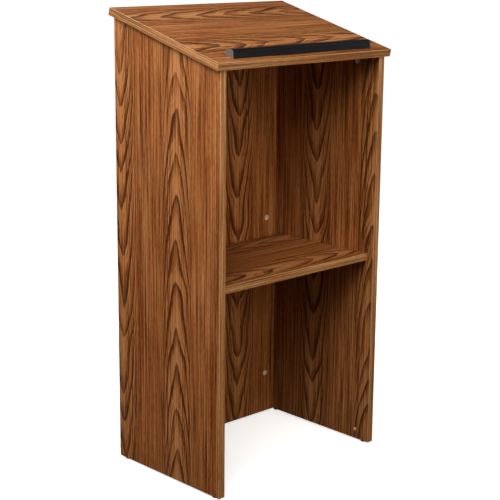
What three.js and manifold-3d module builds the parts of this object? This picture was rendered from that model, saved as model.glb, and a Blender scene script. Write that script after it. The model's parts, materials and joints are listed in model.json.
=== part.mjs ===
// A full-height presentation lectern of laminated board. Two side panels carry an
// audience panel, a fixed shelf and a sloping top board, all drawn together by cam
// locks and located by dowels.
//
// Millimetres. +X is to the right of the person who speaks from it, +Y runs away from
// that person towards the audience, and +Z is up. The origin is on the floor, under
// the centre of the lectern's outline.

import * as THREE from 'three';
import Module from 'manifold-3d';
import { mergeVertices } from 'three/addons/utils/BufferGeometryUtils.js';

const wasm = await Module();
wasm.setup();

// Carcass
const OVERALL_HEIGHT = 1168;
const CARCASS_WIDTH = 565;
const SIDE_DEPTH = 385;
const BOARD = 19;
const BAND = 1;
const GLIDE_HEIGHT = 5;
const AUDIENCE_INSET = 1;

// Top board: lengths are along the slope, from the side panels' front edges
const SLOPE = THREE.MathUtils.degToRad(15);
const TOP_WIDTH = 593;
const TOP_LENGTH = 408;
const TOP_FRONT_OVERHANG = 5.5;
const SLOPE_GAP = 0.3;

// Shelf
const SHELF_TOP = 529;
const SHELF_DEPTH = 317.5;
const SHELF_SETBACK = 23.5;

// Book stop: its section is measured from the top board's front upper edge
const STOP_LENGTH = 470;
const STOP_FRONT = 18;
const STOP_REAR = 45;
const STOP_TOP_FRONT = 30;
const STOP_TOP_REAR = 49;
const STOP_FRONT_HEIGHT = 19;
const STOP_REAR_HEIGHT = 13.6;
const STOP_SHOULDER = 7;
const STOP_SCREW_SPACING = 190;
const STOP_SCREW_LINE = 34;
const SCREW_LENGTH = 30;
const SCREW_RADIUS = 1.9;
const SCREW_HEAD_RADIUS = 3.8;
const SCREW_HEAD_DEPTH = 2.2;
const SCREW_SUNK = 0.2;
const SCREW_TIP = 4;
const SCREW_ROOM = 0.3;

// Cam lock: a drum in the face of one board grips the ball of a bolt from the next
const CAM_SETBACK = 34;
const CAM_RADIUS = 7.5;
const CAM_BORE_RADIUS = 7.66;
const CAM_SUNK = 0.3;
const CAM_HEIGHT = 13.4;
const CAM_CHAMFER = 0.4;
const CAM_BORE_DEPTH = 14;
const RECESS_DEPTH = 2.2;
const RECESS_REACH = 3.4;
const RECESS_HALF_WIDTH = 0.65;
const POINTER_TIP = 6.6;
const POINTER_BASE = 4.8;
const POINTER_HALF_WIDTH = 1.3;
const POINTER_DEPTH = 0.5;
const BALL_RADIUS = 3.5;
const BALL_ROOM_LOCKED = 3.75;
const BALL_ROOM_OPEN = 5.2;
const NECK_RADIUS = 2.2;
const NECK_SLOT = 5.2;
const SHANK_RADIUS = 3;
const SHANK_BORE_RADIUS = 4;
const COLLAR_RADIUS = 3.7;
const COLLAR_WIDTH = 1.4;
const STUD_LENGTH = 11;
const STUD_CORE_RADIUS = 2.5;
const STUD_BORE_RADIUS = 3.3;
const THREAD_RIDGES = 2;
const THREAD_SPACING = 4;
const CAM_TURN = 180;

// Facets round each kind of turned piece
const DRUM_FACETS = 20;
const HOLE_FACETS = 12;
const PLUG_FACETS = 16;
const BOLT_FACETS = 8;

// Positions of the fittings
const AUDIENCE_CAM_HEIGHTS = { lower: 120, middle: 575, upper: 1030 };
const AUDIENCE_DOWEL_HEIGHTS = { lower: 347, upper: 802 };
const TOP_FITTING_SETBACK = 67;
const SHELF_FITTING_SETBACK = 60;

// Dowels, glides and plugs
const DOWEL_RADIUS = 4;
const DOWEL_BORE_RADIUS = 4.3;
const DOWEL_IN_FACE = 12;
const DOWEL_IN_EDGE = 18;
const DOWEL_END_ROOM = 0.5;
const GLIDE_RADIUS = 7.5;
const GLIDE_DOME = 2;
const GLIDE_SETBACK = 24;
const NAIL_RADIUS = 1.1;
const NAIL_LENGTH = 16;
const PLUG_HEIGHT = 26;
const PLUG_SETBACK = 47;
const PLUG_RADIUS = 4.5;
const PLUG_HEAD = 1.1;
const PLUG_STEM_RADIUS = 3.9;
const PLUG_STEM_LENGTH = 8;
const PLUG_ROOM = 0.2;

// Sizes that follow from those above
const OUTER = CARCASS_WIDTH / 2;
const INNER = OUTER - BOARD;
const PANEL_MIDDLE = OUTER - BOARD / 2;
const BOTTOM = GLIDE_HEIGHT;
const TOP_REAR = TOP_LENGTH - TOP_FRONT_OVERHANG;
const UNDERSIDE_FRONT = OVERALL_HEIGHT - TOP_REAR * Math.sin(SLOPE) - BOARD * Math.cos(SLOPE);
const AUDIENCE_REAR = SIDE_DEPTH - AUDIENCE_INSET;
const AUDIENCE_FRONT = AUDIENCE_REAR - BOARD;
const SLOPE_LENGTH = SIDE_DEPTH / Math.cos(SLOPE);
const FOREMOST = -TOP_FRONT_OVERHANG * Math.cos(SLOPE) - BOARD * Math.sin(SLOPE);
const REARMOST = TOP_REAR * Math.cos(SLOPE);
const TOP_FRONT = -TOP_FRONT_OVERHANG;

const SIDES = { left: -1, right: 1 };
const FINISHES = {
  laminate: { color: 0x9a683c, roughness: 0.5, metalness: 0 },
  band: { color: 0xa97a4b, roughness: 0.45, metalness: 0 },
  stop: { color: 0x1c1b1e, roughness: 0.4, metalness: 0 },
  zinc: { color: 0x8f8b86, roughness: 0.45, metalness: 0.9 },
  steel: { color: 0xa8a9ab, roughness: 0.35, metalness: 0.9 },
  dowel: { color: 0xc9a878, roughness: 0.8, metalness: 0 },
  glide: { color: 0x18181a, roughness: 0.5, metalness: 0 },
  plug: { color: 0xb48a62, roughness: 0.5, metalness: 0 },
};

// ---- Solids ----

function toManifold(geometry) {
  const bare = geometry.clone();
  bare.deleteAttribute('normal');
  bare.deleteAttribute('uv');
  const welded = mergeVertices(bare, 1e-4);
  return new wasm.Manifold(new wasm.Mesh({
    numProp: 3,
    vertProperties: new Float32Array(welded.attributes.position.array),
    triVerts: new Uint32Array(welded.index.array),
  }));
}

function fromManifold(solid) {
  const mesh = solid.getMesh();
  const geometry = new THREE.BufferGeometry();
  geometry.setAttribute('position', new THREE.BufferAttribute(mesh.vertProperties, 3));
  geometry.setIndex(new THREE.BufferAttribute(mesh.triVerts, 1));
  return faceted(geometry);
}

function faceted(geometry) {
  const flat = geometry.index ? geometry.toNonIndexed() : geometry;
  flat.deleteAttribute('uv');
  flat.computeVertexNormals();
  return flat;
}

function cut(geometry, cutters) {
  let solid = toManifold(geometry);
  for (const cutter of cutters) {
    solid = solid.subtract(toManifold(cutter));
  }
  return fromManifold(solid);
}

function box(x0, x1, y0, y1, z0, z1) {
  const geometry = new THREE.BoxGeometry(x1 - x0, y1 - y0, z1 - z0);
  geometry.translate((x0 + x1) / 2, (y0 + y1) / 2, (z0 + z1) / 2);
  return geometry;
}

// A section drawn in Y and Z, carried along X.
function alongX(section, x0, x1) {
  const shape = new THREE.Shape(section.map(([y, z]) => new THREE.Vector2(y, z)));
  const geometry = new THREE.ExtrudeGeometry(shape, { depth: x1 - x0, bevelEnabled: false });
  const turn = new THREE.Matrix4().makeBasis(
    new THREE.Vector3(0, 1, 0),
    new THREE.Vector3(0, 0, 1),
    new THREE.Vector3(1, 0, 0),
  );
  geometry.applyMatrix4(turn);
  geometry.translate(x0, 0, 0);
  return geometry;
}

// A profile of radius and height pairs, from the foot up, turned about Z.
function turned(profile, segments) {
  const points = profile.map(([radius, height]) => new THREE.Vector2(radius, height));
  const geometry = new THREE.LatheGeometry(points, segments);
  geometry.rotateX(Math.PI / 2);
  return geometry;
}

function rod(radius, z0, z1, segments) {
  return turned([[0, z0], [radius, z0], [radius, z1], [0, z1]], segments);
}

// A frame whose Z runs along `axis` and whose X runs along `across`.
function frameAt(origin, axis, across) {
  const z = new THREE.Vector3(...axis);
  const x = new THREE.Vector3(...across);
  const y = new THREE.Vector3().crossVectors(z, x);
  return new THREE.Matrix4().makeBasis(x, y, z).setPosition(...origin);
}

function placed(geometry, frame) {
  return geometry.clone().applyMatrix4(frame);
}

// ---- Reference frames ----

// The slope frame: X across, Y up the slope, Z out of the top board, with its origin
// on the board's underside above the side panels' front edges.
const slopeFrame = new THREE.Matrix4().makeRotationX(SLOPE).setPosition(0, 0, UNDERSIDE_FRONT);

function onSlope(frame) {
  return new THREE.Matrix4().multiplyMatrices(slopeFrame, frame);
}

function undersideHeight(y) {
  return UNDERSIDE_FRONT + y * Math.tan(SLOPE) - SLOPE_GAP / Math.cos(SLOPE);
}

// ---- Cam locks ----

// Each lock's frame has its origin on the host board's face at the drum's centre, Z
// out of that face, and X towards the edge where the mating board meets the host.
const camLocks = [];

for (const [side, sign] of Object.entries(SIDES)) {
  for (const [level, height] of Object.entries(AUDIENCE_CAM_HEIGHTS)) {
    camLocks.push({
      place: `audience_${side}_${level}`,
      host: 'audience_panel',
      mate: `${side}_side_panel`,
      frame: frameAt(
        [sign * (INNER - CAM_SETBACK), AUDIENCE_FRONT, height],
        [0, -1, 0],
        [sign, 0, 0],
      ),
    });
  }
  const topStations = { front: TOP_FITTING_SETBACK, rear: SLOPE_LENGTH - TOP_FITTING_SETBACK };
  for (const [end, station] of Object.entries(topStations)) {
    camLocks.push({
      place: `top_${side}_${end}`,
      host: `${side}_side_panel`,
      mate: 'top_board',
      frame: onSlope(frameAt([sign * INNER, station, -CAM_SETBACK], [-sign, 0, 0], [0, 0, 1])),
    });
  }
  const shelfStations = {
    front: SHELF_SETBACK + SHELF_FITTING_SETBACK,
    rear: SHELF_SETBACK + SHELF_DEPTH - SHELF_FITTING_SETBACK,
  };
  for (const [end, station] of Object.entries(shelfStations)) {
    camLocks.push({
      place: `shelf_${side}_${end}`,
      host: 'shelf',
      mate: `${side}_side_panel`,
      frame: frameAt(
        [sign * (INNER - CAM_SETBACK), station, SHELF_TOP - BOARD],
        [0, 0, -1],
        [sign, 0, 0],
      ),
    });
  }
}

// The drum's room for the ball: a spiral that opens from the locked end to the mouth,
// closed behind the ball by a plain arc.
function ballRoom() {
  const steps = 18;
  const start = THREE.MathUtils.degToRad(30);
  const spiral = THREE.MathUtils.degToRad(CAM_TURN + 75);
  const outline = [];
  for (let i = 0; i < steps; i += 1) {
    const turn = (2 * Math.PI * i) / steps;
    const opened = turn <= spiral ? turn / spiral : 0;
    const radius = BALL_ROOM_LOCKED + (BALL_ROOM_OPEN - BALL_ROOM_LOCKED) * opened;
    outline.push(new THREE.Vector2(radius * Math.cos(start - turn), radius * Math.sin(start - turn)));
  }
  outline.reverse();
  const depth = CAM_HEIGHT;
  const room = new THREE.ExtrudeGeometry(new THREE.Shape(outline), { depth, bevelEnabled: false });
  room.translate(0, 0, -BOARD / 2 + BALL_ROOM_LOCKED - depth);
  return room;
}

// The slot that the bolt's neck runs in as the drum turns, and the mouth at its open
// end, where the ball goes in.
function neckSlot() {
  const reach = CAM_RADIUS + 1;
  const steps = 7;
  const margin = THREE.MathUtils.degToRad(38);
  const sweep = THREE.MathUtils.degToRad(CAM_TURN) + margin;
  const sector = [new THREE.Vector2(0, 0)];
  for (let i = 0; i <= steps; i += 1) {
    const angle = margin - (sweep * i) / steps;
    sector.push(new THREE.Vector2(reach * Math.cos(angle), reach * Math.sin(angle)));
  }
  sector.reverse();
  const depth = NECK_SLOT;
  const slot = new THREE.ExtrudeGeometry(new THREE.Shape(sector), { depth, bevelEnabled: false });
  slot.translate(0, 0, -BOARD / 2 - NECK_SLOT / 2);
  return slot;
}

function camDrum() {
  const top = -CAM_SUNK;
  const foot = top - CAM_HEIGHT;
  const blank = turned([
    [0, foot],
    [CAM_RADIUS, foot],
    [CAM_RADIUS, top - CAM_CHAMFER],
    [CAM_RADIUS - CAM_CHAMFER, top],
    [0, top],
  ], DRUM_FACETS);
  const mouthHalf = BALL_RADIUS + 0.4;
  const mouth = box(-CAM_RADIUS - 1, 0, -mouthHalf, mouthHalf, foot - 1, -BOARD / 2 + mouthHalf);
  const [reach, half, floor] = [RECESS_REACH, RECESS_HALF_WIDTH, top - RECESS_DEPTH];
  const recess = [
    box(-reach, reach, -half, half, floor, top + 1),
    box(-half, half, -reach, reach, floor, top + 1),
  ];
  const pointer = new THREE.Shape([
    new THREE.Vector2(POINTER_TIP, 0),
    new THREE.Vector2(POINTER_BASE, POINTER_HALF_WIDTH),
    new THREE.Vector2(POINTER_BASE, -POINTER_HALF_WIDTH),
  ]);
  const arrow = new THREE.ExtrudeGeometry(pointer, { depth: 2, bevelEnabled: false });
  arrow.translate(0, 0, top - POINTER_DEPTH);
  return cut(blank, [ballRoom(), neckSlot(), mouth, ...recess, arrow]);
}

// The bolt lies along X in the lock's frame, with its ball at the drum's axis.
function camBolt() {
  const profile = [];
  const ballSteps = 4;
  const neckAngle = Math.asin(NECK_RADIUS / BALL_RADIUS);
  for (let i = 0; i <= ballSteps; i += 1) {
    const angle = Math.PI - ((Math.PI - neckAngle) * i) / ballSteps;
    profile.push([BALL_RADIUS * Math.sin(angle), BALL_RADIUS * Math.cos(angle)]);
  }
  profile[0] = [0, -BALL_RADIUS];
  const collarEnd = CAM_SETBACK - 0.1;
  const collarStart = collarEnd - COLLAR_WIDTH;
  const tip = CAM_SETBACK + STUD_LENGTH;
  profile.push(
    [NECK_RADIUS, CAM_RADIUS + 1],
    [SHANK_RADIUS, CAM_RADIUS + 2],
    [SHANK_RADIUS, collarStart],
    [COLLAR_RADIUS, collarStart],
    [COLLAR_RADIUS, collarEnd],
    [STUD_CORE_RADIUS, collarEnd],
  );
  for (let i = 0; i < THREAD_RIDGES; i += 1) {
    const start = CAM_SETBACK + 1.5 + i * THREAD_SPACING;
    profile.push(
      [STUD_CORE_RADIUS, start],
      [SHANK_RADIUS, start + THREAD_SPACING / 2],
      [STUD_CORE_RADIUS, start + THREAD_SPACING - 1],
    );
  }
  profile.push([STUD_CORE_RADIUS, tip - 1.2], [0, tip]);
  const bolt = turned(profile, BOLT_FACETS);
  bolt.applyMatrix4(frameAt([0, 0, -BOARD / 2], [1, 0, 0], [0, 1, 0]));
  return bolt;
}

function camBores() {
  const drumBore = rod(CAM_BORE_RADIUS, -CAM_BORE_DEPTH, 1, DRUM_FACETS);
  const shankBore = rod(SHANK_BORE_RADIUS, 0, CAM_SETBACK + 3, HOLE_FACETS);
  shankBore.applyMatrix4(frameAt([0, 0, -BOARD / 2], [1, 0, 0], [0, 1, 0]));
  return [drumBore, shankBore];
}

function studBore() {
  const bore = rod(STUD_BORE_RADIUS, CAM_SETBACK - 3, CAM_SETBACK + STUD_LENGTH + 1, HOLE_FACETS);
  bore.applyMatrix4(frameAt([0, 0, -BOARD / 2], [1, 0, 0], [0, 1, 0]));
  return bore;
}

// ---- Dowels ----

// Each dowel's frame has its origin where the two boards meet, with Z into the board
// whose face is drilled.
const dowels = [];

for (const [side, sign] of Object.entries(SIDES)) {
  for (const [level, height] of Object.entries(AUDIENCE_DOWEL_HEIGHTS)) {
    dowels.push({
      place: `audience_${side}_${level}`,
      boards: ['audience_panel', `${side}_side_panel`],
      frame: frameAt([sign * INNER, AUDIENCE_FRONT + BOARD / 2, height], [sign, 0, 0], [0, 1, 0]),
    });
  }
  dowels.push({
    place: `top_${side}`,
    boards: [`${side}_side_panel`, 'top_board'],
    frame: onSlope(frameAt([sign * PANEL_MIDDLE, SLOPE_LENGTH / 2, 0], [0, 0, 1], [1, 0, 0])),
  });
  dowels.push({
    place: `shelf_${side}`,
    boards: ['shelf', `${side}_side_panel`],
    frame: frameAt(
      [sign * INNER, SHELF_SETBACK + SHELF_DEPTH / 2, SHELF_TOP - BOARD / 2],
      [sign, 0, 0],
      [0, 1, 0],
    ),
  });
}

function dowel() {
  const chamfer = 1;
  return turned([
    [0, -DOWEL_IN_EDGE],
    [DOWEL_RADIUS - chamfer, -DOWEL_IN_EDGE],
    [DOWEL_RADIUS, -DOWEL_IN_EDGE + chamfer],
    [DOWEL_RADIUS, DOWEL_IN_FACE - chamfer],
    [DOWEL_RADIUS - chamfer, DOWEL_IN_FACE],
    [0, DOWEL_IN_FACE],
  ], HOLE_FACETS);
}

function dowelBore() {
  const [edgeEnd, faceEnd] = [-DOWEL_IN_EDGE - DOWEL_END_ROOM, DOWEL_IN_FACE + DOWEL_END_ROOM];
  return rod(DOWEL_BORE_RADIUS, edgeEnd, faceEnd, HOLE_FACETS);
}

// ---- Book stop and its screws, in the slope frame ----

const stopScrews = ['left', 'middle', 'right'].map((place, i) => ({
  place,
  frame: frameAt([(i - 1) * STOP_SCREW_SPACING, TOP_FRONT + STOP_SCREW_LINE, 0], [0, 0, 1], [1, 0, 0]),
}));

// A countersunk screw, driven up through the top board from its underside.
function stopScrew() {
  return turned([
    [0, SCREW_SUNK],
    [SCREW_HEAD_RADIUS, SCREW_SUNK],
    [SCREW_RADIUS, SCREW_SUNK + SCREW_HEAD_DEPTH],
    [SCREW_RADIUS, SCREW_LENGTH - SCREW_TIP],
    [0, SCREW_LENGTH],
  ], HOLE_FACETS);
}

function stopScrewBore() {
  const bore = SCREW_RADIUS + SCREW_ROOM;
  const countersink = SCREW_HEAD_RADIUS + 2 * SCREW_ROOM;
  return turned([
    [0, -1],
    [countersink, -1],
    [countersink, 0],
    [bore, SCREW_SUNK + SCREW_HEAD_DEPTH + SCREW_ROOM],
    [bore, SCREW_LENGTH + 1],
    [0, SCREW_LENGTH + 1],
  ], HOLE_FACETS);
}

function bookStop() {
  const section = [
    [STOP_FRONT, 0],
    [STOP_REAR, 0],
    [STOP_TOP_REAR, STOP_REAR_HEIGHT],
    [STOP_TOP_FRONT, STOP_FRONT_HEIGHT],
  ];
  const steps = 5;
  for (let i = 1; i <= steps; i += 1) {
    const turn = (Math.PI / 2) * (i / steps);
    section.push([
      STOP_TOP_FRONT - STOP_SHOULDER * Math.sin(turn),
      STOP_FRONT_HEIGHT - STOP_SHOULDER * (1 - Math.cos(turn)),
    ]);
  }
  const base = BOARD + SLOPE_GAP;
  const bar = alongX(
    section.map(([along, up]) => [TOP_FRONT + along, base + up]),
    -STOP_LENGTH / 2,
    STOP_LENGTH / 2,
  );
  return cut(bar, stopScrews.map((screw) => placed(stopScrewBore(), screw.frame)));
}

// ---- Glides and plugs ----

const glides = [];

for (const [side, sign] of Object.entries(SIDES)) {
  const stations = { front: GLIDE_SETBACK, rear: SIDE_DEPTH - GLIDE_SETBACK };
  for (const [end, y] of Object.entries(stations)) {
    glides.push({
      place: `${side}_${end}`,
      frame: frameAt([sign * PANEL_MIDDLE, y, 0], [0, 0, 1], [1, 0, 0]),
    });
  }
}

// A domed pad with its nail moulded in, driven up into the side panel's lower edge.
function glide() {
  const edge = [0, 0.5, 1].map((share) => {
    const turn = (Math.PI / 2) * share;
    return [
      GLIDE_RADIUS - GLIDE_DOME * (1 - Math.sin(turn)),
      GLIDE_DOME * (1 - Math.cos(turn)),
    ];
  });
  return turned([
    [0, 0],
    ...edge,
    [GLIDE_RADIUS, GLIDE_HEIGHT],
    [NAIL_RADIUS, GLIDE_HEIGHT],
    [NAIL_RADIUS, GLIDE_HEIGHT + NAIL_LENGTH - 2],
    [0, GLIDE_HEIGHT + NAIL_LENGTH],
  ], DRUM_FACETS);
}

function nailBore() {
  return rod(NAIL_RADIUS + 0.15, GLIDE_HEIGHT - 1, GLIDE_HEIGHT + NAIL_LENGTH + 1, HOLE_FACETS);
}

// Each plug's frame has its origin on the side panel's inner face, with Z out of it.
function plugFrame(sign) {
  return frameAt([sign * INNER, PLUG_SETBACK, BOTTOM + PLUG_HEIGHT], [-sign, 0, 0], [0, 1, 0]);
}

function plug() {
  const [seat, chamfer] = [0.05, 0.4];
  return turned([
    [0, -PLUG_STEM_LENGTH],
    [PLUG_STEM_RADIUS - chamfer, -PLUG_STEM_LENGTH],
    [PLUG_STEM_RADIUS, -PLUG_STEM_LENGTH + 2 * chamfer],
    [PLUG_STEM_RADIUS, seat],
    [PLUG_RADIUS, seat],
    [PLUG_RADIUS - chamfer, PLUG_HEAD - PLUG_ROOM],
    [0, PLUG_HEAD],
  ], PLUG_FACETS);
}

function plugBore() {
  return rod(PLUG_STEM_RADIUS + PLUG_ROOM, -PLUG_STEM_LENGTH - 1, 1, PLUG_FACETS);
}

// ---- Boards ----

function cuttersFor(board) {
  const cutters = [];
  for (const lock of camLocks) {
    if (lock.host === board) {
      cutters.push(...camBores().map((bore) => placed(bore, lock.frame)));
    }
    if (lock.mate === board) {
      cutters.push(placed(studBore(), lock.frame));
    }
  }
  for (const piece of dowels) {
    if (piece.boards.includes(board)) {
      cutters.push(placed(dowelBore(), piece.frame));
    }
  }
  return cutters;
}

// A slab that stands on the glides' level and ends under the sloping top board.
function uprightSlab(x0, x1, y0, y1) {
  return alongX([
    [y0, BOTTOM],
    [y1, BOTTOM],
    [y1, undersideHeight(y1)],
    [y0, undersideHeight(y0)],
  ], x0, x1);
}

function sidePanel(side) {
  const sign = SIDES[side];
  const [x0, x1] = [sign * INNER, sign * OUTER].sort((a, b) => a - b);
  const cutters = cuttersFor(`${side}_side_panel`);
  cutters.push(placed(plugBore(), plugFrame(sign)));
  cutters.push(...glides.map((piece) => placed(nailBore(), piece.frame)));
  return cut(uprightSlab(x0, x1, BAND, SIDE_DEPTH - BAND), cutters);
}

function sideBand(side, end) {
  const sign = SIDES[side];
  const [x0, x1] = [sign * INNER, sign * OUTER].sort((a, b) => a - b);
  const y0 = end === 'front' ? 0 : SIDE_DEPTH - BAND;
  return uprightSlab(x0, x1, y0, y0 + BAND);
}

// The top board lies in the slope frame, so its cutters are brought back into it.
function topBoard() {
  const toSlope = slopeFrame.clone().invert();
  const edge = BAND + SLOPE_GAP;
  const half = TOP_WIDTH / 2 - edge;
  const slab = box(-half, half, TOP_FRONT + edge, TOP_REAR - edge, 0, BOARD);
  const cutters = cuttersFor('top_board').map((cutter) => placed(cutter, toSlope));
  cutters.push(...stopScrews.map((screw) => placed(stopScrewBore(), screw.frame)));
  return cut(slab, cutters);
}

function topBands() {
  const half = TOP_WIDTH / 2;
  const front = TOP_FRONT + BAND + SLOPE_GAP;
  const rear = TOP_REAR - BAND - SLOPE_GAP;
  return {
    top_front_edge_band: box(-half, half, TOP_FRONT, TOP_FRONT + BAND, 0, BOARD),
    top_rear_edge_band: box(-half, half, TOP_REAR - BAND, TOP_REAR, 0, BOARD),
    top_left_edge_band: box(-half, -half + BAND, front, rear, 0, BOARD),
    top_right_edge_band: box(half - BAND, half, front, rear, 0, BOARD),
  };
}

function shelfBoard() {
  const front = SHELF_SETBACK + BAND;
  const rear = SHELF_SETBACK + SHELF_DEPTH;
  return cut(box(-INNER, INNER, front, rear, SHELF_TOP - BOARD, SHELF_TOP), cuttersFor('shelf'));
}

// ---- Assembly ----

const lectern = new THREE.Group();
lectern.position.y = -(FOREMOST + REARMOST) / 2;

const slope = new THREE.Group();
slope.applyMatrix4(slopeFrame);
lectern.add(slope);

function addPart(parent, name, finish, geometry) {
  const material = new THREE.MeshStandardMaterial(FINISHES[finish]);
  const mesh = new THREE.Mesh(faceted(geometry), material);
  mesh.name = name;
  parent.add(mesh);
  return mesh;
}

addPart(slope, 'top_board', 'laminate', topBoard());
for (const [name, geometry] of Object.entries(topBands())) {
  addPart(slope, name, 'band', geometry);
}
addPart(slope, 'book_stop', 'stop', bookStop());
for (const screw of stopScrews) {
  addPart(slope, `stop_screw_${screw.place}`, 'steel', stopScrew()).applyMatrix4(screw.frame);
}

for (const side of Object.keys(SIDES)) {
  addPart(lectern, `${side}_side_panel`, 'laminate', sidePanel(side));
  for (const end of ['front', 'rear']) {
    addPart(lectern, `${side}_side_${end}_edge_band`, 'band', sideBand(side, end));
  }
}

const audienceSlab = uprightSlab(-INNER, INNER, AUDIENCE_FRONT, AUDIENCE_REAR);
addPart(lectern, 'audience_panel', 'laminate', cut(audienceSlab, cuttersFor('audience_panel')));
addPart(lectern, 'shelf', 'laminate', shelfBoard());
addPart(
  lectern,
  'shelf_front_edge_band',
  'band',
  box(-INNER, INNER, SHELF_SETBACK, SHELF_SETBACK + BAND, SHELF_TOP - BOARD, SHELF_TOP),
);

const drum = camDrum();
for (const lock of camLocks) {
  addPart(lectern, `cam_drum_${lock.place}`, 'zinc', drum).applyMatrix4(lock.frame);
  addPart(lectern, `cam_bolt_${lock.place}`, 'steel', camBolt()).applyMatrix4(lock.frame);
}
for (const piece of dowels) {
  addPart(lectern, `dowel_${piece.place}`, 'dowel', dowel()).applyMatrix4(piece.frame);
}
for (const piece of glides) {
  addPart(lectern, `glide_${piece.place}`, 'glide', glide()).applyMatrix4(piece.frame);
}
for (const [side, sign] of Object.entries(SIDES)) {
  addPart(lectern, `hole_plug_${side}`, 'plug', plug()).applyMatrix4(plugFrame(sign));
}

export default lectern;
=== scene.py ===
# Looks for a laminated presentation lectern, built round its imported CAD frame.
# Metres, in the row frame: +X is to the speaker's right, +Y runs towards the audience,
# and +Z is up.
import json
import math

import bmesh
import bpy
from mathutils import Matrix, Vector


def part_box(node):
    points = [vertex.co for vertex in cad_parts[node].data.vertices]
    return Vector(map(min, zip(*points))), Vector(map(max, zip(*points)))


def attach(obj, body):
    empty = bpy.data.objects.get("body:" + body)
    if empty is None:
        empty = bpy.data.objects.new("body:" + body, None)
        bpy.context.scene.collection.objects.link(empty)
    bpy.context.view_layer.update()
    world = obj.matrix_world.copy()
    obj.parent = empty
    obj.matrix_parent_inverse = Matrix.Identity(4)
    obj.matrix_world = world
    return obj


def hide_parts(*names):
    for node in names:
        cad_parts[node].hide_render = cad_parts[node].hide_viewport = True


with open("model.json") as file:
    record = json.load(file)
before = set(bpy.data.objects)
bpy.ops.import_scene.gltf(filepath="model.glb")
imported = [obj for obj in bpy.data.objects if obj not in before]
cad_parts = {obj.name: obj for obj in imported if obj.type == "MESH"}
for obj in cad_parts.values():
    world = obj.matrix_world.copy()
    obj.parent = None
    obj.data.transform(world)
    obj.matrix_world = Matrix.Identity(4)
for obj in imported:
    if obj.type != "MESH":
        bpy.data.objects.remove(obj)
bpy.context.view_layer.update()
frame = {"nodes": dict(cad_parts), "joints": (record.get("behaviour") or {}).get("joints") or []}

MM = 0.001
X_AXIS = Vector((1, 0, 0))
Y_AXIS = Vector((0, 1, 0))
Z_AXIS = Vector((0, 0, 1))
SIDES = {"left": -1, "right": 1}
ENDS = ("front", "rear")
SCREWS = ("left", "middle", "right")
OVERRUN = 1 * MM  # how far a cutter runs past what it cuts
CARCASS = "carcass"

# Boards
SLOPE = math.radians(15)
BOARD = 19 * MM
BAND = 1 * MM
BOARD_ARRIS = 0.15 * MM
BAND_ARRIS = 0.8 * MM

# Cam locks
CAM_SETBACK = 34 * MM
CAM_RADIUS = 7.5 * MM
CAM_HEIGHT = 13.4 * MM
CAM_SUNK = 0.3 * MM
CAM_BORE_RADIUS = 7.66 * MM
CAM_BORE_DEPTH = 14 * MM
CAM_RIM = 0.45 * MM
CAM_LIP = 0.9 * MM
CAM_DISH = 0.25 * MM
DRIVER_CONE = 2.4 * MM
DRIVER_ARM = 3.4 * MM
DRIVER_HALF_WIDTH = 0.8 * MM
DRIVER_DEPTH = 3.6 * MM
DRIVER_TAPER = 0.72
ARROW_TIP = 6.4 * MM
ARROW_BASE = 4.4 * MM
ARROW_HALF_WIDTH = 1.3 * MM
ARROW_DEPTH = 1.5 * MM
BALL_RADIUS = 3.5 * MM
BALL_ROOM_LOCKED = 3.75 * MM
BALL_ROOM_OPEN = 5.2 * MM
BALL_ROOM_START = math.radians(30)
BALL_ROOM_TURN = math.radians(255)
MOUTH_HALF_WIDTH = BALL_RADIUS + 0.4 * MM
NECK_RADIUS = 2.2 * MM
NECK_SLOT = 5.2 * MM
NECK_SLOT_MARGIN = math.radians(38)
SHANK_RADIUS = 3 * MM
SHANK_BORE_RADIUS = 4 * MM
COLLAR_RADIUS = 3.7 * MM
COLLAR_WIDTH = 1.4 * MM
STUD_LENGTH = 11 * MM
STUD_CORE_RADIUS = 2.3 * MM
STUD_BORE_RADIUS = 3.3 * MM
STUD_PITCH = 2.5 * MM

# Dowels
DOWEL_RADIUS = 4 * MM
DOWEL_BORE_RADIUS = 4.3 * MM
DOWEL_LENGTH = 30 * MM
DOWEL_END_ROOM = 0.5 * MM
DOWEL_FLUTES = 16

# Book stop, along and above the top's face, and its screws
STOP_FRONT = 18 * MM
STOP_REAR = 45 * MM
STOP_TOP_FRONT = 30 * MM
STOP_TOP_REAR = 49 * MM
STOP_FRONT_HEIGHT = 19 * MM
STOP_REAR_HEIGHT = 13.6 * MM
STOP_SHOULDER = 7 * MM
STOP_ARRIS = 0.5 * MM
STOP_CLEAR = 0.02 * MM
STOP_SCREW_LENGTH = 30 * MM
SCREW_SUNK = 0.2 * MM
SCREW_RADIUS = 1.9 * MM
SCREW_CORE_RADIUS = 1.35 * MM
SCREW_HEAD_RADIUS = 3.8 * MM
SCREW_HEAD_DEPTH = 2.2 * MM
SCREW_PITCH = 1.8 * MM
SCREW_ROOM = 0.3 * MM

# Glides and plugs
GLIDE_RADIUS = 7.5 * MM
GLIDE_HEIGHT = 5 * MM
NAIL_RADIUS = 1.1 * MM
NAIL_LENGTH = 16 * MM
NAIL_ROOM = 0.15 * MM
PLUG_RADIUS = 4.5 * MM
PLUG_HEAD = 1.1 * MM
PLUG_STEM_RADIUS = 3.9 * MM
PLUG_STEM_LENGTH = 8 * MM
PLUG_ROOM = 0.2 * MM

# Printed oak, in millimetres: leaves of veneer side by side, each with a cathedral of
# arches down its middle
LEAF_WIDTH = 208
LEAF_SEED_STEP = 7.3
FACE_SEED_STEP = 31
CATHEDRAL_HALF = 40
CATHEDRAL_FADE = 64
CATHEDRAL_DRIFT = 26
TIP_SPACING = 105
TIP_EDGES = (15, 3)
CORE_EDGES = (34, 8)
SMUDGE_EDGES = (12, 2)
ARCH_POINT = 0.014
ARCH_SPREAD = 0.00046
ARCH_LEAN = 0.003
ARCH_BLUNT = 2.5
ARCH_LIMIT = 56
ARCH_LIMIT_POWER = 6

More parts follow.
